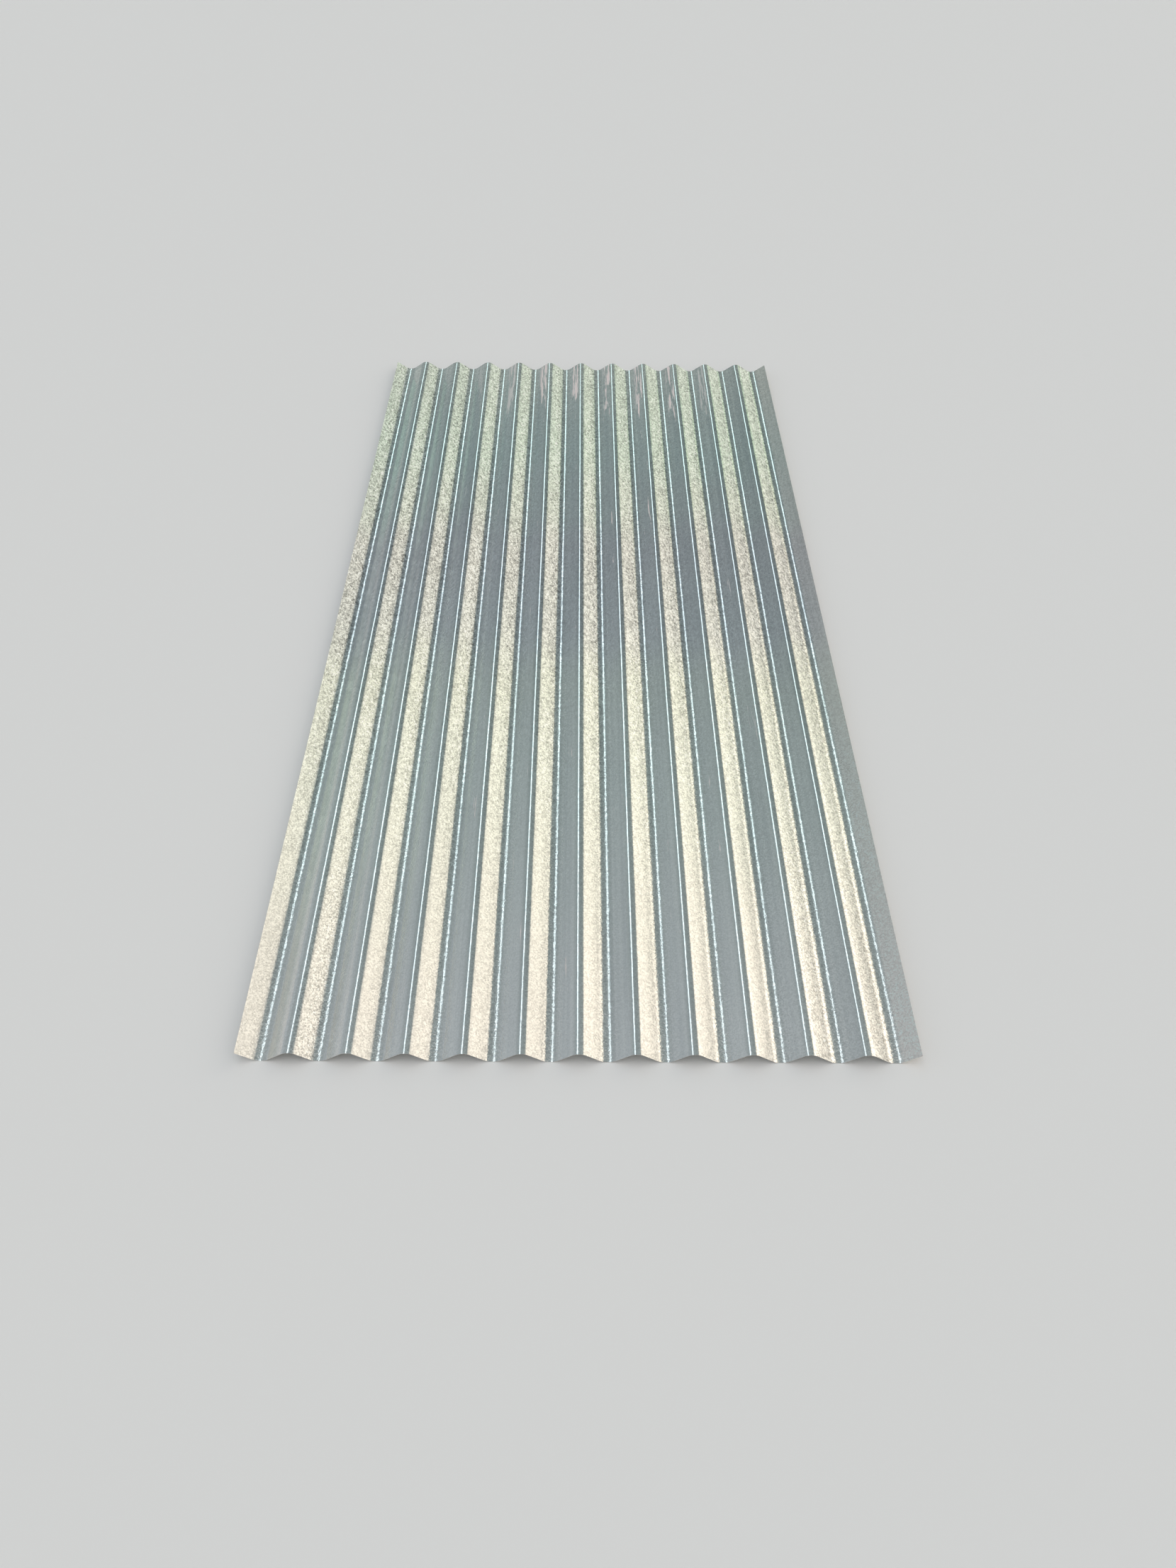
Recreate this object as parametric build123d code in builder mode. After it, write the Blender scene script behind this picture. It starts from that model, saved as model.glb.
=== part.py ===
"""A corrugated roofing sheet: one piece of thin galvanised steel, roll-formed into even waves.

The sheet lies flat with its waves running along Y. The origin is on the floor
under the middle of the sheet, +Z up, and all sizes are in millimetres.
"""

from build123d import *
import math
import os

os.makedirs("parts", exist_ok=True)

# Driving dimensions
sheet_length = 2000.0
sheet_thickness = 0.37
wave_pitch = 76.0
wave_depth = 18.0  # from the underside of a trough to the top of a crest
crest_bend_radius = 17.0  # to the middle of the metal's thickness
trough_bend_radius = 21.0  # likewise, a little wider than over the crests
trough_count = 12
lap_reach = 32.0  # from the middle of an outer trough to the free edge beside it

# Sizes that follow from them
cover_width = (trough_count - 1) * wave_pitch
mid_line_rise = wave_depth - sheet_thickness


def flank_angle() -> float:
    """Give the slope of the straight flanks, in radians, where they run tangent to both bends.

    Half a pitch and the rise of the mid-line fix it: with t the tangent of half the
    angle, (2 * (crest radius + trough radius) - rise) * t**2 - pitch * t + rise = 0.
    """
    bend_term = 2 * (crest_bend_radius + trough_bend_radius) - mid_line_rise
    root = math.sqrt(wave_pitch**2 - 4 * bend_term * mid_line_rise)
    return 2 * math.atan((wave_pitch - root) / (2 * bend_term))


def wave_corners() -> list:
    """List the corners of the mid-line before its bends are rounded, from the left edge to the right."""
    slope = math.tan(flank_angle())
    # A rounded corner ends short of the sharp one by this much
    corner_cut = trough_bend_radius * (1 / math.cos(flank_angle()) - 1)
    trough_corner = sheet_thickness / 2 - corner_cut
    crest_corner = trough_corner + slope * wave_pitch / 2
    # The outermost corner of the metal stands at the lap reach, square to the flank
    edge_run = lap_reach - sheet_thickness / 2 * math.sin(flank_angle())
    edge_height = trough_corner + slope * edge_run

    first_trough = -cover_width / 2
    corners = [(first_trough - edge_run, edge_height)]
    for wave in range(trough_count):
        trough_x = first_trough + wave * wave_pitch
        corners.append((trough_x, trough_corner))
        if wave < trough_count - 1:
            corners.append((trough_x + wave_pitch / 2, crest_corner))
    corners.append((-first_trough + edge_run, edge_height))
    return corners


def bend_radii() -> list:
    """List the radius at each corner between the two edges: troughs and crests by turns."""
    return [trough_bend_radius, crest_bend_radius] * (trough_count - 1) + [trough_bend_radius]


# The sheet: its wavy section, drawn on the mid-line and given the metal's thickness, drawn out along Y
with BuildPart() as corrugated_sheet:
    with BuildSketch(Plane.XZ) as section:
        with BuildLine() as mid_line:
            FilletPolyline(*wave_corners(), radius=bend_radii())
        trace(line_width=sheet_thickness)
    extrude(amount=sheet_length / 2, both=True)

corrugated_sheet.part.label = "corrugated_sheet"
export_step(corrugated_sheet.part, "parts/corrugated_sheet.step")
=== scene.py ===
"""A corrugated galvanised sheet lying on a pale studio floor.

The script forms the sheet, dresses it in zinc, lights the room and stands the camera.
Lengths are in metres: X runs across the waves, Y along them to the far end, and Z up.
"""

import logging
import math
from dataclasses import dataclass
from enum import Enum
from typing import Callable

import bmesh
import bpy
from mathutils import Matrix, Vector


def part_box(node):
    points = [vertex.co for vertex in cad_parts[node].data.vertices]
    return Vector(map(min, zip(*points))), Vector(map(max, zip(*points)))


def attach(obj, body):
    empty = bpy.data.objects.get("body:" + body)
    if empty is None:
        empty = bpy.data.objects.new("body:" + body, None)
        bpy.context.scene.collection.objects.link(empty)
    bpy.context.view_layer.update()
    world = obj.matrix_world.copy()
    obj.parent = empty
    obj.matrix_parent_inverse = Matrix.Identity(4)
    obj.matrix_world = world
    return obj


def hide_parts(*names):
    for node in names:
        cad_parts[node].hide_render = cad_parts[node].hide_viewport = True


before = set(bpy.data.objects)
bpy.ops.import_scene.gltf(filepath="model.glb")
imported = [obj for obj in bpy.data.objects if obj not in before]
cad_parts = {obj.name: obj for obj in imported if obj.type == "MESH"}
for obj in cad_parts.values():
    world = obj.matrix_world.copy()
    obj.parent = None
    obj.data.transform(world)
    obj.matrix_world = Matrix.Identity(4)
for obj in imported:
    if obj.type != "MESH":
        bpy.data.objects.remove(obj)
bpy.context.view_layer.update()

SHEET_NODE = "corrugated_sheet"

Colour = tuple[float, float, float]
Size = tuple[float, float, float]
Span = tuple[float, float]
Socket = bpy.types.NodeSocket
Source = Socket | float | Colour

UNTINTED: Colour = (1.0, 1.0, 1.0)
MIDDLE_TONE = 0.5
# From the foot of a flank to its top
FLANK_HEIGHTS: Span = (0.003, 0.014)

log = logging.getLogger("corrugated_sheet")


class Bend(Enum):
    """The two kinds of bend that take turns across the sheet.

    The value is the remainder when the number of a bend's line is divided by two.
    """

    CREST = 0
    TROUGH = 1


class Side(Enum):
    """The sheet's two long edges, as signs of X."""

    LEFT = -1
    RIGHT = 1


class Arithmetic(Enum):
    """The ways in which the nodes work out a number, under Blender's names for them."""

    ADD = "ADD"
    SUBTRACT = "SUBTRACT"
    MULTIPLY = "MULTIPLY"
    MULTIPLY_ADD = "MULTIPLY_ADD"
    MINIMUM = "MINIMUM"
    MAXIMUM = "MAXIMUM"
    ABSOLUTE = "ABSOLUTE"
    ARCTAN2 = "ARCTAN2"


def select_only(piece: bpy.types.Object) -> None:
    """Deselect everything, then select one object and make it the active one.

    Args:
        piece: The object to work on.
    """
    bpy.ops.object.select_all(action="DESELECT")
    piece.select_set(True)
    bpy.context.view_layer.objects.active = piece


def select_verts(piece: bpy.types.Object, wanted: Callable[[Vector], bool]) -> None:
    """Select the vertices of a piece in edit mode by their place.

    Args:
        piece: The object, in edit mode.
        wanted: Says of a vertex's place whether it is selected.
    """
    bpy.ops.mesh.select_all(action="DESELECT")
    bpy.ops.mesh.select_mode(type="VERT")
    shape = bmesh.from_edit_mesh(piece.data)
    for vert in shape.verts:
        vert.select = wanted(vert.co)
    shape.select_flush(True)
    bmesh.update_edit_mesh(piece.data)


def select_edges(piece: bpy.types.Object, wanted: Callable[[Vector, Vector], bool]) -> None:
    """Select the edges of a piece in edit mode by their two ends.

    Args:
        piece: The object, in edit mode.
        wanted: Says of the places of an edge's ends whether it is selected.
    """
    bpy.ops.mesh.select_mode(type="EDGE")
    bpy.ops.mesh.select_all(action="DESELECT")
    shape = bmesh.from_edit_mesh(piece.data)
    for edge in shape.edges:
        edge.select = wanted(edge.verts[0].co, edge.verts[1].co)
    bmesh.update_edit_mesh(piece.data)


@dataclass(frozen=True)
class CloudyPattern:
    """A cloudy pattern in the metal.

    Attributes:
        size: How large it is along X, Y and Z.
        detail: How many finer layers it has.
        roughness: How strong each finer layer is, as a share of the one before.
    """

    size: Size
    detail: float
    roughness: float = 0.5


class Wiring:
    """The nodes of one material, or of the room's light, while they are wired up."""

    def __init__(self, tree: bpy.types.NodeTree) -> None:
        """Take the tree in hand.

        Args:
            tree: The node tree to add to.
        """
        self.nodes = tree.nodes
        self.links = tree.links

    def feed(self, socket: Socket, value: Source) -> None:
        """Give an input its value.

        Args:
            socket: The input.
            value: Another node's output, or a plain number or colour.
        """
        if isinstance(value, Socket):
            self.links.new(value, socket)
        elif isinstance(value, tuple) and socket.type == "RGBA":
            socket.default_value = (*value, 1)
        else:
            socket.default_value = value

    def number(self, operation: Arithmetic, *values: Source) -> Socket:
        """Work out a number.

        Args:
            operation: What to do.
            values: What to do it with.

        Returns:
            The result.
        """
        node = self.nodes.new("ShaderNodeMath")
        node.operation = operation.value
        for socket, value in zip(node.inputs, values):
            self.feed(socket, value)
        return node.outputs[0]

    def colour(self, operation: Arithmetic, first: Source, second: Source) -> Socket:
        """Work out a colour from two others, channel by channel.

        Args:
            operation: What to do.
            first: The one colour.
            second: The other colour, or another node's number for all its channels.

        Returns:
            The result.
        """
        node = self.nodes.new("ShaderNodeVectorMath")
        node.operation = operation.value
        self.feed(node.inputs[0], first)
        self.feed(node.inputs[1], second)
        return node.outputs["Vector"]

    def axes(self, place: Socket) -> bpy.types.NodeOutputs:
        """Take a place, a direction or a colour apart.

        Args:
            place: What to take apart.

        Returns:
            Its X, Y and Z.
        """
        node = self.nodes.new("ShaderNodeSeparateXYZ")
        self.links.new(place, node.inputs[0])
        return node.outputs

    def fit(
        self, value: Socket, old: Span, new: Span = (0.0, 1.0), smooth: bool = False
    ) -> Socket:
        """Bring a value from one range to another, and keep it there.

        Args:
            value: The value.
            old: The range that it comes in.
            new: The range that it goes out in.
            smooth: Whether it leaves and reaches the ends gently.

        Returns:
            The value in its new range.
        """
        node = self.nodes.new("ShaderNodeMapRange")
        if smooth:
            node.interpolation_type = "SMOOTHSTEP"
        self.feed(node.inputs["Value"], value)
        node.inputs["From Min"].default_value, node.inputs["From Max"].default_value = old
        node.inputs["To Min"].default_value, node.inputs["To Max"].default_value = new
        return node.outputs["Result"]

    def blend(self, share: Source, first: Source, second: Source) -> Socket:
        """Blend two colours.

        Args:
            share: How much of the second there is, from 0 to 1.
            first: The one colour.
            second: The other colour.

        Returns:
            The blended colour.
        """
        node = self.nodes.new("ShaderNodeMix")
        node.data_type = "RGBA"
        self.feed(node.inputs["Factor"], share)
        self.feed(node.inputs["A"], first)
        self.feed(node.inputs["B"], second)
        return node.outputs["Result"]

    def ramp(self, share: Socket, stops: list[tuple[float, Colour]]) -> Socket:
        """Look a colour up on a ramp.

        Args:
            share: The place on the ramp, from 0 to 1.
            stops: The place and the colour of each stop, in order.

        Returns:
            The colour there.
        """
        node = self.nodes.new("ShaderNodeValToRGB")
        node.color_ramp.interpolation = "EASE"
        elements = node.color_ramp.elements
        for number, (place, colour) in enumerate(stops):
            # A new ramp has two stops already
            stop = elements[number] if number < 2 else elements.new(1.0)
            stop.position = place
            stop.color = (*colour, 1)
        self.links.new(share, node.inputs["Fac"])
        return node.outputs["Color"]

    def scaled(self, place: Socket, size: Size) -> Socket:
        """Scale coordinates for a pattern that is one unit large.

        Args:
            place: The coordinates.
            size: How large the pattern is to be along X, Y and Z.

        Returns:
            The coordinates for the pattern.
        """
        node = self.nodes.new("ShaderNodeMapping")
        node.inputs["Scale"].default_value = tuple(1 / length for length in size)
        self.links.new(place, node.inputs["Vector"])
        return node.outputs["Vector"]

    def clouds(self, place: Socket, pattern: CloudyPattern) -> Socket:
        """Add a cloudy pattern.

        Args:
            place: The coordinates that it reads.
            pattern: The pattern.

        Returns:
            The pattern's value, about 0.5 on average.
        """
        node = self.nodes.new("ShaderNodeTexNoise")
        node.inputs["Scale"].default_value = 1.0
        node.inputs["Detail"].default_value = pattern.detail
        node.inputs["Roughness"].default_value = pattern.roughness
        self.links.new(self.scaled(place, pattern.size), node.inputs["Vector"])
        return node.outputs["Fac"]

    def crystals(self, place: Socket, size: Size) -> Socket:
        """Add a pattern of small crystals, each of one tone.

        Args:
            place: The coordinates that it reads.
            size: How large a crystal is along X, Y and Z.

        Returns:
            How far a crystal's tone is from the middle one, from -0.5 to 0.5.
        """
        cells = self.nodes.new("ShaderNodeTexVoronoi")
        cells.inputs["Scale"].default_value = 1.0
        self.links.new(self.scaled(place, size), cells.inputs["Vector"])
        tone = self.axes(cells.outputs["Color"])["X"]
        return self.number(Arithmetic.SUBTRACT, tone, MIDDLE_TONE)

    def bump(
        self, height: Socket, relief: float, under: Socket | None = None, strength: Source = 1.0
    ) -> Socket:
        """Add fine relief.

        Args:
            height: The pattern of the relief.
            relief: The height for a full step of the pattern.
            under: The relief that this one lies on, if any.
            strength: How much of the relief shows, from 0 to 1.

        Returns:
            The shading normal.
        """
        node = self.nodes.new("ShaderNodeBump")
        node.inputs["Distance"].default_value = relief
        self.feed(node.inputs["Strength"], strength)
        self.links.new(height, node.inputs["Height"])
        if under is not None:
            self.links.new(under, node.inputs["Normal"])
        return node.outputs["Normal"]


class SurfacePoint:
    """A point of the sheet's surface, as the nodes of its material see it.

    Attributes:
        place: Its place in the sheet's own coordinates.
        across: How far it is from the middle, positive to the right.
        along: How far it is from the middle, positive towards the far end.
        height: How high it is above the floor.
        facing: How far its surface faces right, from -1 to 1.
    """

    def __init__(self, wiring: Wiring) -> None:
        """Read the coordinates.

        Args:
            wiring: The material's nodes.
        """
        coordinates = wiring.nodes.new("ShaderNodeTexCoord").outputs
        self.place = coordinates["Object"]
        self.across, self.along, self.height = wiring.axes(self.place)
        self.facing = wiring.axes(coordinates["Normal"])["X"]


@dataclass(frozen=True)
class WaveSection:
    """The sheet's wavy section, whose width and depth are read from the frame.

    Attributes:
        width: How wide the sheet is across its waves.
        depth: How deep it is from the underside of a trough to the top of a crest.
        pitch: How far it is from one crest to the next.
        thickness: How thick the metal is.
        crest_bend_radius: The radius of a crest, to the middle of the metal.
        trough_bend_radius: The radius of a trough, to the middle of the metal.
        trough_count: How many troughs there are.
    """

    width: float
    depth: float
    pitch: float = 0.076
    thickness: float = 0.00037
    crest_bend_radius: float = 0.017
    trough_bend_radius: float = 0.021
    trough_count: int = 12

    @property
    def flank_angle(self) -> float:
        """The slope of the straight flanks, in radians, where they run tangent to both bends.

        Returns:
            Twice the angle whose tangent t solves
            (2 * (crest radius + trough radius) - rise) * t**2 - pitch * t + rise = 0.
        """
        rise = self.depth - self.thickness
        bend_term = 2 * (self.crest_bend_radius + self.trough_bend_radius) - rise
        root = math.sqrt(self.pitch**2 - 4 * bend_term * rise)
        return 2 * math.atan((self.pitch - root) / (2 * bend_term))

    @property
    def slope(self) -> float:
        """How far a flank rises for each metre across."""
        return math.tan(self.flank_angle)

    @property
    def flank_run(self) -> float:
        """How far a straight flank runs across, between a crest's bend and a trough's."""
        bends = self.crest_bend_radius + self.trough_bend_radius
        return self.pitch / 2 - bends * math.sin(self.flank_angle)

    def bend_radius(self, bend: Bend) -> float:
        """Give the radius of a crest or a trough."""
        return self.crest_bend_radius if bend is Bend.CREST else self.trough_bend_radius

    @property
    def bend_profile(self) -> float:
        """The bevel profile that brings the middle of a bend to where a true arc has it."""
        return (1 - 1 / (2 * (1 + math.cos(self.flank_angle)))) ** 2

    @property
    def trough_corner(self) -> float:
        """The height of the middle of the metal at a trough before its bend is rounded."""
        return self.thickness / 2 - self.trough_bend_radius * (1 / math.cos(self.flank_angle) - 1)

    @property
    def crest_corner(self) -> float:
        """The height of the middle of the metal at a crest before its bend is rounded."""
        return self.trough_corner + self.slope * self.pitch / 2

    @property
    def outer_trough(self) -> float:
        """The distance from the sheet's middle to the trough nearest each long edge."""
        return (self.trough_count - 1) * self.pitch / 2

    @property
    def edge_run(self) -> float:
        """The distance across from an outer trough to the middle of the metal at the free edge."""
        return self.width / 2 - self.outer_trough - self.thickness / 2 * math.sin(self.flank_angle)


@dataclass(frozen=True)
class ReflectedLightTint:
    """One stop of the painted tint for the colour of the reflected light, at one place along the
    sheet.

    Attributes:
        place: The place, from 0 at the near end to 1 at the far end.
        colour: What the metal's colour is multiplied by there.
    """

    place: float
    colour: Colour


@dataclass(frozen=True)
class PaintedReflectedLightTint:
    """A painted tint for the colour of the light that the metal reflects, which changes slowly
    along the sheet, with uneven borders.

    Attributes:
        drift_pattern: The pattern that makes the borders uneven.
        drift: How far the borders stray along the sheet.
        tints: The tints, from the near end to the far end.
    """

    drift_pattern: CloudyPattern = CloudyPattern((0.22, 0.22, 0.22), detail=1.0)
    drift: float = 0.09
    tints: tuple[ReflectedLightTint, ...] = (
        ReflectedLightTint(0.0, (1.06, 1.0, 0.94)),
        ReflectedLightTint(0.3, (1.03, 1.03, 0.94)),
        ReflectedLightTint(0.38, (1.02, 1.02, 0.92)),
        ReflectedLightTint(0.48, (0.94, 0.92, 0.89)),
        ReflectedLightTint(0.6, (0.93, 0.895, 0.87)),
        ReflectedLightTint(0.68, (0.93, 0.95, 0.88)),
        ReflectedLightTint(0.8, (0.925, 1.0, 0.905)),
        ReflectedLightTint(1.0, (0.88, 0.935, 0.85)),
    )

    def tint(self, wiring: Wiring, point: SurfacePoint, half_length: float) -> Socket:
        """Paint the colour of the reflected light along the metal's length.

        Args:
            wiring: The material's nodes.
            point: The point of the surface.
            half_length: Half the sheet's length.

        Returns:
            The tint, which the metal's colour is multiplied by.
        """
        drifting = wiring.clouds(point.place, self.drift_pattern)
        shift = wiring.fit(drifting, (0.0, 1.0), (-self.drift, self.drift))
        along = wiring.number(Arithmetic.ADD, point.along, shift)
        share = wiring.fit(along, (-half_length, half_length))
        return wiring.ramp(share, [(tint.place, tint.colour) for tint in self.tints])


@dataclass(frozen=True)
class GrainPatch:
    """A strip at the near end where the zinc is sandier than beside it.

    Attributes:
        left: Where its left border is across the sheet.
        right: Where its right border is.
        start: Where it begins to show along the sheet.
        full: Where it shows in full, nearer to the near end.
        strength: How strong its added grain is.
        least_share: How much of the speckle shows in it at least, whichever way it faces.
        border: How far its borders blur to each side.
    """

    left: float
    right: float
    start: float
    full: float
    strength: float
    least_share: float = 0.0
    border: float = 0.008

    def inside(self, wiring: Wiring, point: SurfacePoint) -> Socket:
        """Mark the patch.

        Args:
            wiring: The material's nodes.
            point: The point of the surface.

        Returns:
            1 inside the patch and 0 outside it.
        """
        left = wiring.fit(point.across, (self.left - self.border, self.left + self.border))
        right = wiring.fit(point.across, (self.right + self.border, self.right - self.border))
        near = wiring.fit(point.along, (self.start, self.full), smooth=True)
        between = wiring.number(Arithmetic.MULTIPLY, left, right)
        return wiring.number(Arithmetic.MULTIPLY, near, between)


@dataclass(frozen=True)
class GrainWithPaintedGlint:
    """Lighter and darker grains in the zinc, with painted sun glint: they show strongest on the
    right-hand flanks.

    Attributes:
        fine_crystals: How large the fine grains are along X, Y and Z.
        coarse_crystals: How large the coarse grains are.
        fine_strength: How strong the fine grains are at the near and at the far end.
        coarse_strength: How strong the coarse grains are there.
        reach: Between which places along the sheet they gain strength, in halves of its length.
        facing: How far right a surface faces where the painted glint begins, and where it is full.
        left_share: How much of the speckle shows on surfaces that don't face right.
        upper_share: How much of it shows at the top of a flank.
        darkest: The tone that no grain is darker than.
        patches: Where it is sandier.
    """

    fine_crystals: Size = (0.0018, 0.0022, 0.0018)
    coarse_crystals: Size = (0.0032, 0.0065, 0.0032)
    fine_strength: Span = (0.5, 1.0)
    coarse_strength: Span = (0.05, 0.8)
    reach: Span = (-0.8, 0.05)
    facing: Span = (-0.1, 0.45)
    left_share: float = 0.25
    upper_share: float = 0.75
    darkest: float = 0.3
    patches: tuple[GrainPatch, ...] = (
        GrainPatch(0.27, 0.424, -0.35, -0.75, strength=0.35),
        GrainPatch(0.424, 0.46, 0.0, -0.5, strength=0.4, least_share=0.35),
        GrainPatch(-0.385, -0.345, -0.5, -0.8, strength=0.35),
    )

    def tone(self, wiring: Wiring, point: SurfacePoint, half_length: float) -> Socket:
        """Add the speckle.

        Args:
            wiring: The material's nodes.
            point: The point of the surface.
            half_length: Half the sheet's length.

        Returns:
            How much lighter or darker each grain is, about 1 on average.
        """
        reach = (self.reach[0] * half_length, self.reach[1] * half_length)
        fine = wiring.crystals(point.place, self.fine_crystals)
        coarse = wiring.crystals(point.place, self.coarse_crystals)
        fine_strength = wiring.fit(point.along, reach, self.fine_strength)
        coarse_strength = wiring.fit(point.along, reach, self.coarse_strength)
        both = wiring.number(
            Arithmetic.ADD,
            wiring.number(Arithmetic.MULTIPLY, fine, fine_strength),
            wiring.number(Arithmetic.MULTIPLY, coarse, coarse_strength),
        )
        # Painted sun glint: the grains show in full where the surface faces right, and only in
        # part elsewhere
        side = wiring.fit(point.facing, self.facing, (self.left_share, 1.0))
        for patch in self.patches:
            inside = patch.inside(wiring, point)
            sandier = wiring.number(Arithmetic.MULTIPLY, inside, patch.strength)
            both = wiring.number(Arithmetic.MULTIPLY_ADD, fine, sandier, both)
            least = wiring.number(Arithmetic.MULTIPLY, inside, patch.least_share)
            side = wiring.number(Arithmetic.MAXIMUM, side, least)
        height = wiring.fit(point.height, FLANK_HEIGHTS, (1.0, self.upper_share))
        share = wiring.number(Arithmetic.MULTIPLY, side, height)
        tone = wiring.number(Arithmetic.MULTIPLY_ADD, both, share, 1.0)
        return wiring.number(Arithmetic.MAXIMUM, tone, self.darkest)


@dataclass(frozen=True)
class DirtSpecks:
    """A few small dark specks of dirt.

    Attributes:
        spacing: How far apart they are.
        size: How large a speck is.
        shade: How dark the metal is under it.
    """

    spacing: float = 0.09
    size: float = 0.0011
    shade: float = 0.55

    def tone(self, wiring: Wiring, point: SurfacePoint) -> Socket:
        """Scatter the specks.

        Args:
            wiring: The material's nodes.
            point: The point of the surface.

        Returns:
            1 on clean metal and less on a speck.
        """
        cells = wiring.nodes.new("ShaderNodeTexVoronoi")
        cells.inputs["Scale"].default_value = 1 / self.spacing
        wiring.feed(cells.inputs["Vector"], point.place)
        rim = self.size / 2 / self.spacing
        return wiring.fit(cells.outputs["Distance"], (rim / 2, rim), (self.shade, 1.0))


@dataclass(frozen=True)
class PaintedFlankReflections:
    """Long pale pink streaks painted on the left-hand flanks towards the far end in place of
    reflections, where the metal is also rougher.

    Attributes:
        pattern: The pattern of the streaks.
        threshold: Between which values of the pattern the streaks come in.
        crowding: How much the pattern gains where the streaks crowd together.
        crowded: Between which places along the sheet they do, in halves of its length.
        facing: How far left a surface faces where the streaks begin, and where they are full.
        from_left: Between which places across the sheet they come in.
        from_right: Between which places across it they come in from the other side.
        heights: Between which heights they come in.
        colour: The colour of the painted reflection.
        roughness: How much rougher it is than the metal round it.
    """

    pattern: CloudyPattern = CloudyPattern((0.006, 0.12, 0.006), detail=4.0, roughness=0.6)
    threshold: Span = (0.665, 0.715)
    crowding: float = 0.18
    crowded: Span = (0.62, 0.85)
    facing: Span = (-0.35, -0.5)
    from_left: Span = (-0.28, -0.11)
    from_right: Span = (0.34, 0.24)
    heights: Span = (0.0045, 0.0085)
    colour: Colour = (0.96, 0.87, 0.84)
    roughness: float = 0.62

    def share(self, wiring: Wiring, point: SurfacePoint, half_length: float) -> Socket:
        """Paint the reflection streaks in.

        Args:
            wiring: The material's nodes.
            point: The point of the surface.
            half_length: Half the sheet's length.

        Returns:
            How strong the painted reflection is, from 0 to 1.
        """
        marks = wiring.clouds(point.place, self.pattern)
        crowded = (self.crowded[0] * half_length, self.crowded[1] * half_length)
        far = wiring.fit(point.along, crowded)
        crowding = wiring.number(Arithmetic.MULTIPLY_ADD, far, self.crowding, marks)
        share = wiring.fit(crowding, self.threshold)
        for limit in (
            wiring.fit(point.facing, self.facing),
            wiring.fit(point.height, self.heights),
            wiring.fit(point.across, self.from_left),
            wiring.fit(point.across, self.from_right),
        ):
            share = wiring.number(Arithmetic.MULTIPLY, share, limit)
        return share


@dataclass(frozen=True)
class FineRelief:
    """The surface's fine relief: a slow waver, orange peel on it, and grain on both.

    Attributes:
        waver: The pattern of the waver.
        waver_relief: How high it is.
        peel: The pattern of the orange peel.
        peel_relief: How high it is.
        grain: The pattern of the grain.
        grain_relief: How high it is in the troughs at the near end.
        crest_grain: How much of the grain shows over the crests.
        grain_fade: Between which places along the sheet the grain fades.
        far_grain: How much of it shows at the far end.
    """

    waver: CloudyPattern = CloudyPattern((0.03, 0.35, 0.03), detail=1.0)
    waver_relief: float = 0.0004
    peel: CloudyPattern = CloudyPattern((0.012, 0.012, 0.012), detail=1.0)
    peel_relief: float = 0.00013
    grain: CloudyPattern = CloudyPattern((0.0028, 0.0028, 0.0028), detail=2.0)
    grain_relief: float = 0.0003
    crest_grain: float = 0.25
    grain_fade: Span = (-0.3, 0.7)
    far_grain: float = 0.35

    def normal(self, wiring: Wiring, point: SurfacePoint) -> Socket:
        """Lay the three reliefs on each other.

        Args:
            wiring: The material's nodes.
            point: The point of the surface.

        Returns:
            The shading normal.
        """
        waver = wiring.bump(wiring.clouds(point.place, self.waver), self.waver_relief)
        peel_pattern = wiring.clouds(point.place, self.peel)
        peel = wiring.bump(peel_pattern, self.peel_relief, under=waver)
        low = wiring.fit(point.height, FLANK_HEIGHTS, (1.0, self.crest_grain))
        near = wiring.fit(point.along, self.grain_fade, (1.0, self.far_grain))
        strength = wiring.number(Arithmetic.MULTIPLY, low, near)
        grain = wiring.clouds(point.place, self.grain)
        return wiring.bump(grain, self.grain_relief, under=peel, strength=strength)


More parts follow.
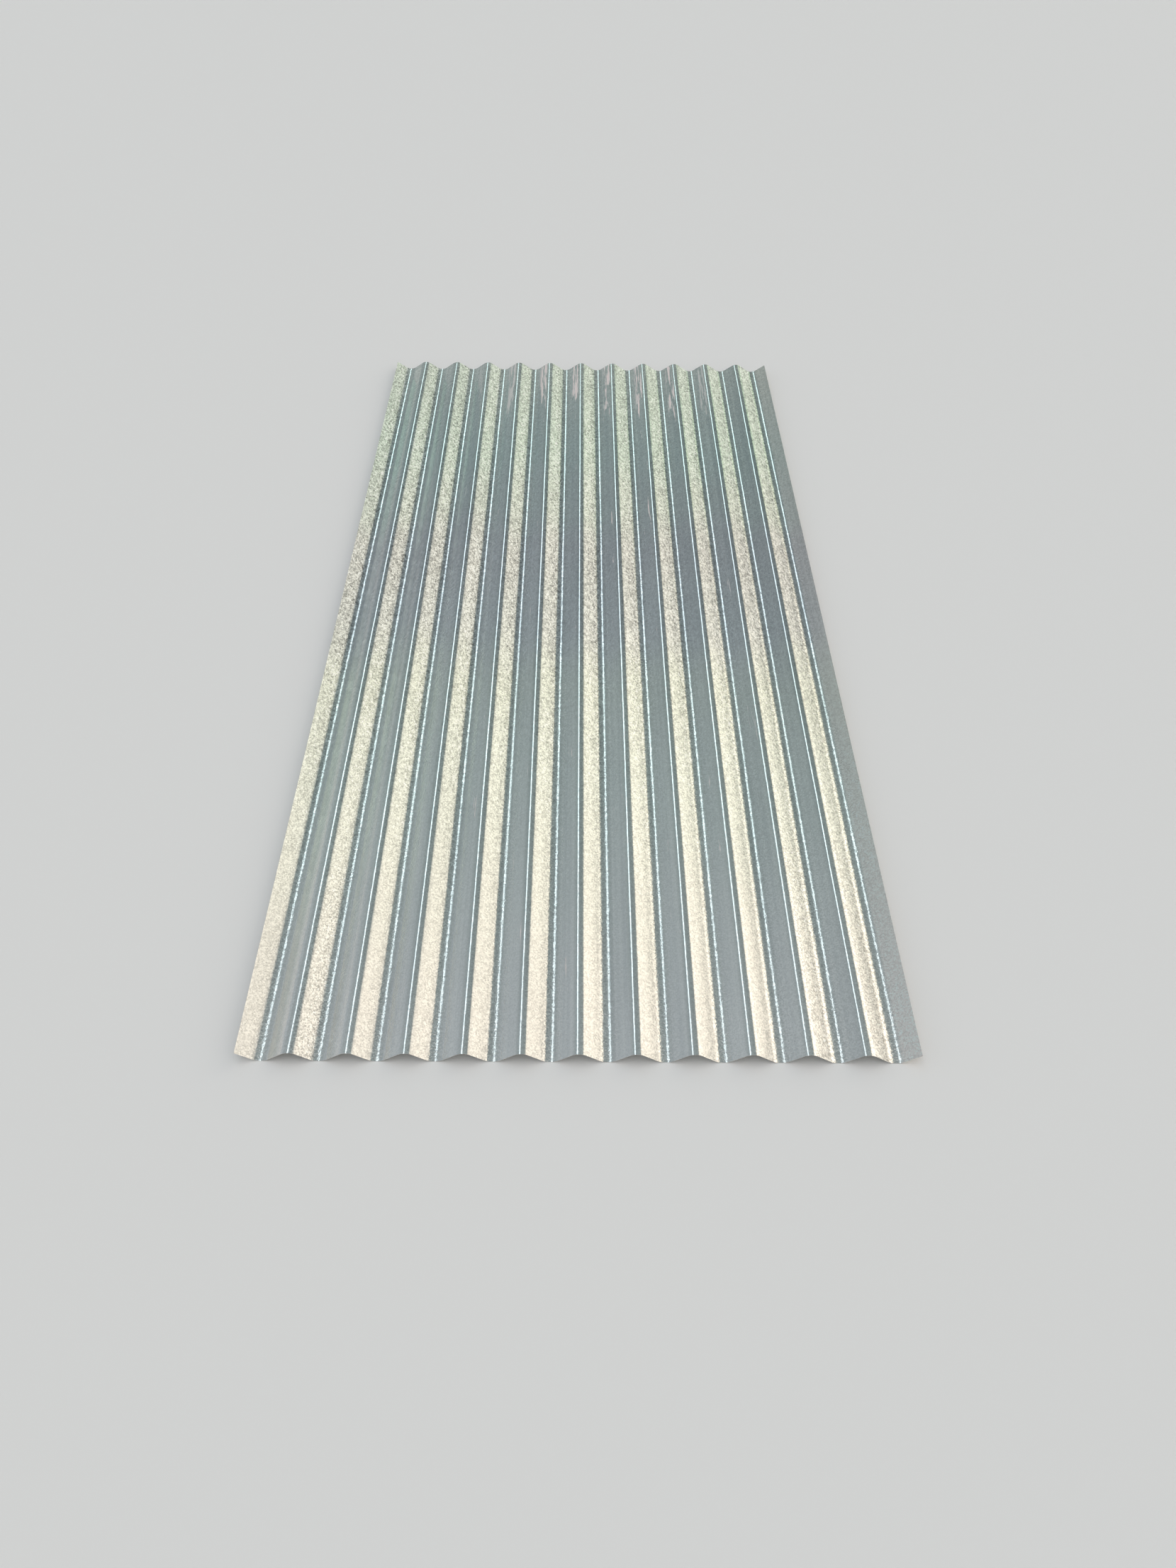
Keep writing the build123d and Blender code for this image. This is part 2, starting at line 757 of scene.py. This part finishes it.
@dataclass(frozen=True)
class ZincFinish:
    """Bare galvanised steel: satin zinc with streaks along the rolling, under a painted tint for
    the colour of the light it reflects.

    Surfaces that face right are rougher and carry painted glint in their grain, and the lap at the
    right edge has painted extra light.

    Attributes:
        sheet_length: The sheet's length.
        metal: The zinc's colour where it is bright.
        dull_metal: Its colour where it is dull.
        streaks: The pattern of the streaks.
        patches: The pattern of the slow patches.
        tones: Between which sums of streaks and patches the zinc turns from dull to bright.
        roughness: How rough the zinc is on average.
        roughness_swing: How far the streaks change it in all.
        streak_range: Between which values of the streaks they change it.
        right_roughness: How much rougher surfaces are that face right.
        right_flank: How far right a surface faces where that begins, and where it is full.
        lap_start: Between which places across the sheet its right lap comes in.
        lap_painted_light: The painted extra light on the right lap, which its colour is multiplied
            by.
        film: The painted tint along the sheet, for the colour of the reflected light.
        speckle: The grains in the zinc, with painted glint where the surface faces right.
        specks: The dirt on it.
        reflection_streaks: The pale streaks painted on it in place of reflections.
        relief: The relief of its surface.
    """

    sheet_length: float
    metal: Colour = (0.8, 0.815, 0.805)
    dull_metal: Colour = (0.67, 0.69, 0.69)
    streaks: CloudyPattern = CloudyPattern((0.006, 0.9, 0.006), detail=3.0)
    patches: CloudyPattern = CloudyPattern((0.08, 0.5, 0.08), detail=3.0)
    tones: Span = (0.68, 1.32)
    roughness: float = 0.15
    roughness_swing: float = 0.05
    streak_range: Span = (0.3, 0.7)
    right_roughness: float = 0.25
    right_flank: Span = (0.3, 0.5)
    lap_start: Span = (0.424, 0.43)
    lap_painted_light: Colour = (1.26, 1.17, 1.14)
    film: PaintedReflectedLightTint = PaintedReflectedLightTint()
    speckle: GrainWithPaintedGlint = GrainWithPaintedGlint()
    specks: DirtSpecks = DirtSpecks()
    reflection_streaks: PaintedFlankReflections = PaintedFlankReflections()
    relief: FineRelief = FineRelief()

    def make(self) -> bpy.types.Material:
        """Build the zinc material.

        Returns:
            The node material, with its patterns on the sheet's own coordinates.
        """
        material = bpy.data.materials.new("galvanised_steel")
        material.use_nodes = True
        wiring = Wiring(material.node_tree)
        shader = wiring.nodes["Principled BSDF"]
        shader.inputs["Metallic"].default_value = 1.0
        point = SurfacePoint(wiring)
        half_length = self.sheet_length / 2
        streaks = wiring.clouds(point.place, self.streaks)
        reflection_streaks = self.reflection_streaks.share(wiring, point, half_length)

        colour = self._zinc_colour(wiring, point, streaks)
        # The first layer is painted light: a tint for the colour of the reflected light along the
        # sheet
        for layer in (
            self.film.tint(wiring, point, half_length),
            self.speckle.tone(wiring, point, half_length),
            self.specks.tone(wiring, point),
        ):
            colour = wiring.colour(Arithmetic.MULTIPLY, colour, layer)
        # Painted reflection: pale pink streaks on the left-hand flanks towards the far end
        with_reflection_streaks = wiring.blend(reflection_streaks, colour, self.reflection_streaks.colour)
        wiring.feed(shader.inputs["Base Color"], with_reflection_streaks)
        roughness = self._roughness(wiring, point, streaks, reflection_streaks)
        wiring.feed(shader.inputs["Roughness"], roughness)
        wiring.feed(shader.inputs["Normal"], self.relief.normal(wiring, point))
        return material

    def _zinc_colour(self, wiring: Wiring, point: SurfacePoint, streaks: Socket) -> Socket:
        """Vary the metal between its bright and its dull colour, and paint extra light onto the
        right lap.

        Args:
            wiring: The material's nodes.
            point: The point of the surface.
            streaks: The pattern of streaks along the rolling.

        Returns:
            The metal's colour.
        """
        patches = wiring.clouds(point.place, self.patches)
        tone = wiring.number(Arithmetic.ADD, streaks, patches)
        zinc = wiring.blend(wiring.fit(tone, self.tones), self.dull_metal, self.metal)
        # Painted light: the right lap is made lighter and warmer than the rest of the sheet
        on_lap = wiring.fit(point.across, self.lap_start)
        lap = wiring.blend(on_lap, UNTINTED, self.lap_painted_light)
        return wiring.colour(Arithmetic.MULTIPLY, zinc, lap)

    def _roughness(
        self, wiring: Wiring, point: SurfacePoint, streaks: Socket, reflection_streaks: Socket
    ) -> Socket:
        """Vary the roughness with the streaks, the painted reflection streaks and the way the
        surface faces.

        Args:
            wiring: The material's nodes.
            point: The point of the surface.
            streaks: The pattern of streaks along the rolling.
            reflection_streaks: How strong the painted reflection streaks are.

        Returns:
            The roughness.
        """
        swing = self.roughness_swing / 2
        ends = (self.roughness - swing, self.roughness + swing)
        streaked = wiring.fit(streaks, self.streak_range, ends)
        roughened = wiring.number(Arithmetic.MULTIPLY_ADD, reflection_streaks, self.reflection_streaks.roughness, streaked)
        right = wiring.fit(point.facing, self.right_flank)
        return wiring.number(Arithmetic.MULTIPLY_ADD, right, self.right_roughness, roughened)


@dataclass
class CorrugatedSheet:
    """The formed sheet, modelled on the middle of its metal and then given its thickness.

    Attributes:
        section: Its wavy section.
        length: Its length along the waves.
        rows: How many rows of faces it has along its length.
        bend_steps: How many faces go round a bend.
        flank_cuts: How many times a flank is cut lengthwise.
        sharp_angle: The angle in degrees from which an edge is shaded sharp.
    """

    section: WaveSection
    length: float
    rows: int = 48
    bend_steps: int = 12
    flank_cuts: int = 3
    sharp_angle: float = 35.0

    def build(self) -> bpy.types.Object:
        """Model the sheet and dress it.

        Returns:
            The finished piece, at the origin, with its place in its mesh.
        """
        sheet = self._lay_blank()
        self._press_waves(sheet)
        self._trim_edges(sheet)
        self._round_bends(sheet)
        self._divide_flanks(sheet)
        bpy.ops.object.mode_set(mode="OBJECT")
        self._give_thickness(sheet)
        self._smooth(sheet)
        sheet.data.materials.append(ZincFinish(sheet_length=self.length).make())
        return sheet

    @property
    def _line_count(self) -> int:
        """The number of half waves that the flat blank is ruled into."""
        return 2 * self.section.trough_count

    def _line_number(self, x: float) -> int:
        """Give the number of the bend line nearest to a place across, 0 at the left edge."""
        return round(2 * x / self.section.pitch + self.section.trough_count)

    def _bends(self, line: int, bend: Bend) -> bool:
        """Say whether a line is bent, and in this way. The two outermost lines are free edges."""
        return line % 2 == bend.value and 0 < line < self._line_count

    def _lay_blank(self) -> bpy.types.Object:
        """Add a flat blank, ruled with one line for each bend, and open it in edit mode.

        Returns:
            The blank, at the height of the troughs.
        """
        bpy.ops.object.select_all(action="DESELECT")
        bpy.ops.mesh.primitive_grid_add(
            x_subdivisions=self._line_count, y_subdivisions=self.rows, size=1.0
        )
        sheet = bpy.context.active_object
        sheet.name = "formed_sheet"
        sheet.data.name = "formed_sheet"
        bpy.ops.object.mode_set(mode="EDIT")
        bpy.ops.mesh.select_all(action="SELECT")
        blank_width = self.section.trough_count * self.section.pitch
        bpy.ops.transform.resize(value=(blank_width, self.length, 1.0))
        bpy.ops.transform.translate(value=(0, 0, self.section.trough_corner))
        return sheet

    def _press_waves(self, sheet: bpy.types.Object) -> None:
        """Raise each crest line, so that the blank becomes a zigzag.

        Args:
            sheet: The blank, in edit mode.
        """
        select_verts(sheet, lambda place: self._bends(self._line_number(place.x), Bend.CREST))
        bpy.ops.transform.translate(
            value=(0, 0, self.section.crest_corner - self.section.trough_corner)
        )

    def _trim_edges(self, sheet: bpy.types.Object) -> None:
        """Bring the two outermost lines in and up to the free edges.

        Args:
            sheet: The zigzag, in edit mode.
        """
        inward = self.section.pitch / 2 - self.section.edge_run
        upward = self.section.slope * self.section.edge_run
        for side in Side:
            edge_line = self._line_count if side is Side.RIGHT else 0
            select_verts(sheet, lambda place: self._line_number(place.x) == edge_line)
            bpy.ops.transform.translate(value=(-side.value * inward, 0, upward))

    def _round_bends(self, sheet: bpy.types.Object) -> None:
        """Round the crest lines and then the trough lines, each to its own radius.

        Args:
            sheet: The zigzag, in edit mode.
        """
        for bend in Bend:

            def along_the_bend(start: Vector, end: Vector) -> bool:
                """Say whether an edge runs along a sharp line of this kind.

                Args:
                    start: The place of the edge's one end.
                    end: The place of its other end.

                Returns:
                    Whether it does.
                """
                line = self._line_number(start.x)
                place = (line - self.section.trough_count) * self.section.pitch / 2
                stray = max(abs(start.x - place), abs(end.x - place))
                return stray < self.section.thickness and self._bends(line, bend)

            select_edges(sheet, along_the_bend)
            # Each side of a sharp corner gives up this much flank to its bend
            tangent_length = self.section.bend_radius(bend) * self.section.slope
            bpy.ops.mesh.bevel(
                offset_type="OFFSET",
                offset=tangent_length,
                segments=self.bend_steps,
                profile=self.section.bend_profile,
                affect="EDGES",
                clamp_overlap=False,
            )

    def _divide_flanks(self, sheet: bpy.types.Object) -> None:
        """Cut the straight flanks lengthwise.

        Args:
            sheet: The rounded surface, in edit mode.
        """

        def across_a_flank(start: Vector, end: Vector) -> bool:
            """Say whether an edge runs across a flat flank."""
            same_row = abs(start.y - end.y) < self.section.thickness
            return same_row and abs(start.x - end.x) > self.section.flank_run / 2

        select_edges(sheet, across_a_flank)
        bpy.ops.mesh.subdivide(number_cuts=self.flank_cuts)

    def _give_thickness(self, sheet: bpy.types.Object) -> None:
        """Turn the surface into metal of the sheet's thickness, half on each side of it.

        Args:
            sheet: The finished surface.
        """
        select_only(sheet)
        solid = sheet.modifiers.new("metal", "SOLIDIFY")
        solid.thickness = self.section.thickness
        solid.offset = 0.0
        solid.use_even_offset = True
        bpy.ops.object.modifier_apply(modifier=solid.name)

    def _smooth(self, sheet: bpy.types.Object) -> None:
        """Shade the bends smoothly and keep the cut edges sharp.

        Args:
            sheet: The finished metal.
        """
        select_only(sheet)
        bpy.ops.object.shade_smooth_by_angle(angle=math.radians(self.sharp_angle))


@dataclass(frozen=True)
class LightBand:
    """One stop of the long light panels that run beside the sheet, ahead and behind.

    Attributes:
        angle: Its place round the sheet's length in degrees, 0 overhead, positive to the right.
        beside: Its colour beside the sheet.
        ahead: Its colour ahead and behind.
        distant: Its colour in the far distance ahead, where that differs.
    """

    angle: float
    beside: Colour
    ahead: Colour
    distant: Colour | None = None


@dataclass
class Studio:
    """The plain pale floor and the soft room.

    The room has an even light above and long panels ahead and behind, which the metal mirrors.
    Low down the panels are calmer, and at the horizon and the far ends they give way to a
    plain backdrop. A reach is a direction's Y, from 0 beside the sheet to 1 straight ahead,
    and a height in the room is its Z.

    Attributes:
        floor_size: How large the floor is.
        floor_colour: Its colour.
        floor_roughness: How rough it is.
        floor_shine: How much it shines.
        horizon_colour: The colour of the backdrop.
        horizon_heights: Between which heights the horizon gives way to the panels.
        horizon_behind: Between which reaches, from ahead to behind, the horizon grows taller.
        horizon_lift: How much less height counts behind than ahead.
        low_brightest: The colour that no panel is brighter than low down.
        low_heights: Between which heights that limit is lifted.
        backdrop_reach: Where the panels end and the backdrop begins.
        panel_reach: Where the panels begin.
        dimming_reach: Where the panels turn from their colour beside to that ahead.
        distant_reach: Where they turn to their colour in the distance.
        soft_light: The angle and the colour of each stop of the even light.
        bands: The stops of the panels.
    """

    floor_size: float = 60.0
    floor_colour: Colour = (0.88, 0.865, 0.85)
    floor_roughness: float = 0.9
    floor_shine: float = 0.2
    horizon_colour: Colour = (0.74, 0.74, 0.73)
    horizon_heights: Span = (0.015, 0.09)
    horizon_behind: Span = (0.05, -0.3)
    horizon_lift: float = 0.85
    low_brightest: Colour = (0.98, 0.95, 0.9)
    low_heights: Span = (0.02, 0.14)
    backdrop_reach: Span = (0.885, 0.94)
    panel_reach: Span = (0.35, 0.5)
    dimming_reach: Span = (0.55, 0.9)
    distant_reach: Span = (0.835, 0.865)
    soft_light: tuple[tuple[float, Colour], ...] = (
        (-90, (0.74, 0.75, 0.76)),
        (-70, (0.72, 0.73, 0.74)),
        (-45, (0.56, 0.57, 0.58)),
        (-14, (1.04, 1.04, 1.04)),
        (14, (1.04, 1.04, 1.04)),
        (45, (0.58, 0.57, 0.56)),
        (70, (0.74, 0.73, 0.72)),
        (90, (0.76, 0.75, 0.74)),
    )
    bands: tuple[LightBand, ...] = (
        LightBand(-90, (0.74, 0.75, 0.76), (0.7, 0.71, 0.72)),
        LightBand(-85, (0.74, 0.75, 0.76), (0.33, 0.347, 0.367), (0.32, 0.333, 0.365)),
        LightBand(-78, (0.485, 0.55, 0.605), (0.267, 0.316, 0.347), (0.262, 0.308, 0.345)),
        LightBand(-66, (0.446, 0.51, 0.565), (0.268, 0.315, 0.342), (0.268, 0.311, 0.347)),
        LightBand(-42, (0.386, 0.448, 0.49), (0.246, 0.29, 0.31), (0.25, 0.288, 0.316)),
        LightBand(-20, (0.31, 0.38, 0.42), (0.185, 0.23, 0.255)),
        LightBand(-17.3, (1.72, 2.03, 2.25), (2.24, 2.68, 2.96)),
        LightBand(-12.7, (1.72, 2.03, 2.25), (2.24, 2.68, 2.96)),
        LightBand(-10, (0.3, 0.365, 0.395), (0.185, 0.225, 0.245)),
        LightBand(34, (0.3, 0.36, 0.38), (0.185, 0.217, 0.23)),
        LightBand(42, (1.52, 1.44, 1.29), (0.69, 0.665, 0.59), (0.7, 0.815, 0.655)),
        LightBand(53, (1.78, 1.68, 1.5), (0.72, 0.69, 0.61), (0.71, 0.83, 0.66)),
        LightBand(67, (2.08, 1.95, 1.73), (0.745, 0.72, 0.635), (0.73, 0.865, 0.685)),
        LightBand(80, (2.5, 2.33, 2.05), (0.86, 0.835, 0.735), (0.79, 0.93, 0.745)),
        LightBand(90, (2.5, 2.33, 2.05), (0.86, 0.835, 0.735), (0.79, 0.93, 0.745)),
    )

    def build(self) -> None:
        """Lay the floor and light the room."""
        self._lay_floor()
        self._light_room()

    def _lay_floor(self) -> bpy.types.Object:
        """Add the floor.

        Returns:
            The floor, level with the underside of the sheet.
        """
        bpy.ops.object.select_all(action="DESELECT")
        bpy.ops.mesh.primitive_plane_add(size=self.floor_size)
        floor = bpy.context.active_object
        floor.name = "studio_floor"
        material = bpy.data.materials.new("studio_floor")
        material.use_nodes = True
        shader = material.node_tree.nodes["Principled BSDF"]
        shader.inputs["Base Color"].default_value = (*self.floor_colour, 1)
        shader.inputs["Roughness"].default_value = self.floor_roughness
        shader.inputs["Specular IOR Level"].default_value = self.floor_shine
        floor.data.materials.append(material)
        return floor

    def _light_room(self) -> None:
        """Make the world a plain room, from the walls down to the horizon."""
        world = bpy.data.worlds.new("studio_room")
        bpy.context.scene.world = world
        world.use_nodes = True
        wiring = Wiring(world.node_tree)
        axes = wiring.axes(wiring.nodes.new("ShaderNodeTexCoord").outputs["Generated"])
        walls = self._walls(wiring, axes)

        behind = wiring.fit(axes["Y"], self.horizon_behind, (1.0, 1.0 - self.horizon_lift))
        height = wiring.number(Arithmetic.MULTIPLY, axes["Z"], behind)
        calm = wiring.colour(Arithmetic.MINIMUM, walls, self.low_brightest)
        calmed = wiring.blend(wiring.fit(height, self.low_heights, smooth=True), calm, walls)
        along = wiring.number(Arithmetic.ABSOLUTE, axes["Y"])
        ends = wiring.fit(along, self.backdrop_reach, smooth=True)
        backed = wiring.blend(ends, calmed, self.horizon_colour)
        above = wiring.fit(height, self.horizon_heights, smooth=True)
        room = wiring.blend(above, self.horizon_colour, backed)
        wiring.feed(wiring.nodes["Background"].inputs["Color"], room)

    def _walls(self, wiring: Wiring, axes: bpy.types.NodeOutputs) -> Socket:
        """Put the even light beside and above the sheet, and the panels ahead and behind.

        Args:
            wiring: The world's nodes.
            axes: The X, Y and Z of the direction.

        Returns:
            The light from that direction.
        """
        angle = wiring.number(Arithmetic.ARCTAN2, axes["X"], axes["Z"])
        across = wiring.fit(angle, (-math.pi / 2, math.pi / 2))
        along = wiring.number(Arithmetic.ABSOLUTE, axes["Y"])

        def panel(colour_of: Callable[[LightBand], Colour]) -> Socket:
            """Run the stops of the panels across the room, in one of their colours."""
            stops = [(self._share(band.angle), colour_of(band)) for band in self.bands]
            return wiring.ramp(across, stops)

        soft = wiring.ramp(across, [(self._share(turn), tone) for turn, tone in self.soft_light])
        beside = panel(lambda band: band.beside)
        ahead = panel(lambda band: band.ahead)
        distant = panel(lambda band: band.distant or band.ahead)
        ending = wiring.blend(wiring.fit(axes["Y"], self.distant_reach), ahead, distant)
        panels = wiring.blend(wiring.fit(along, self.dimming_reach), beside, ending)
        return wiring.blend(wiring.fit(along, self.panel_reach, smooth=True), soft, panels)

    @staticmethod
    def _share(angle: float) -> float:
        """Give an angle's place on a ramp that runs from the left horizon to the right one."""
        return (angle + 90) / 180


@dataclass
class PhotoCamera:
    """The camera, standing where the photograph was taken from.

    Attributes:
        near_end: The Y of the sheet's near end, from which the camera stands back.
        sideways: How far right of the sheet's middle it stands.
        back: How far it stands back from the near end.
        height: How high it is.
        heading: How far it looks to the right, in degrees.
        tilt_down: How far it looks down, in degrees.
        roll: How far it is rolled, in degrees.
        focal_pixels: The focal length in the photograph's own pixels.
        frame_height_pixels: The photograph's height in its own pixels.
        film_long_side: The long side of the film, in millimetres.
    """

    near_end: float
    sideways: float = -0.0061
    back: float = 0.934
    height: float = 1.4049
    heading: float = 0.75
    tilt_down: float = 43.858
    roll: float = 0.884
    focal_pixels: float = 1767.2
    frame_height_pixels: float = 2212.0
    film_long_side: float = 36.0

    def stand(self) -> bpy.types.Object:
        """Add the camera and make it the scene's own.

        Returns:
            The camera.
        """
        bpy.ops.object.camera_add()
        camera = bpy.context.active_object
        camera.name = "photo_camera"
        camera.data.sensor_width = self.film_long_side
        camera.data.lens = self.film_long_side * self.focal_pixels / self.frame_height_pixels
        heading = Matrix.Rotation(math.radians(-self.heading), 4, "Z")
        tilt = Matrix.Rotation(math.radians(90 - self.tilt_down), 4, "X")
        roll = Matrix.Rotation(math.radians(self.roll), 4, "Z")
        place = Matrix.Translation((self.sideways, self.near_end - self.back, self.height))
        camera.matrix_world = place @ heading @ tilt @ roll
        bpy.context.scene.camera = camera
        return camera


def main() -> None:
    """Build the sheet, the studio and the camera."""
    logging.basicConfig(level=logging.INFO, format="%(name)s: %(message)s")
    low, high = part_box(SHEET_NODE)
    section = WaveSection(width=high.x - low.x, depth=high.z - low.z)
    sheet = CorrugatedSheet(section, length=high.y - low.y).build()
    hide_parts(SHEET_NODE)
    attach(sheet, "root")
    log.info("formed %s with %d faces", sheet.name, len(sheet.data.polygons))
    Studio().build()
    PhotoCamera(near_end=low.y).stand()
    bpy.context.scene.view_settings.view_transform = "Standard"


if __name__ == "__main__":
    main()
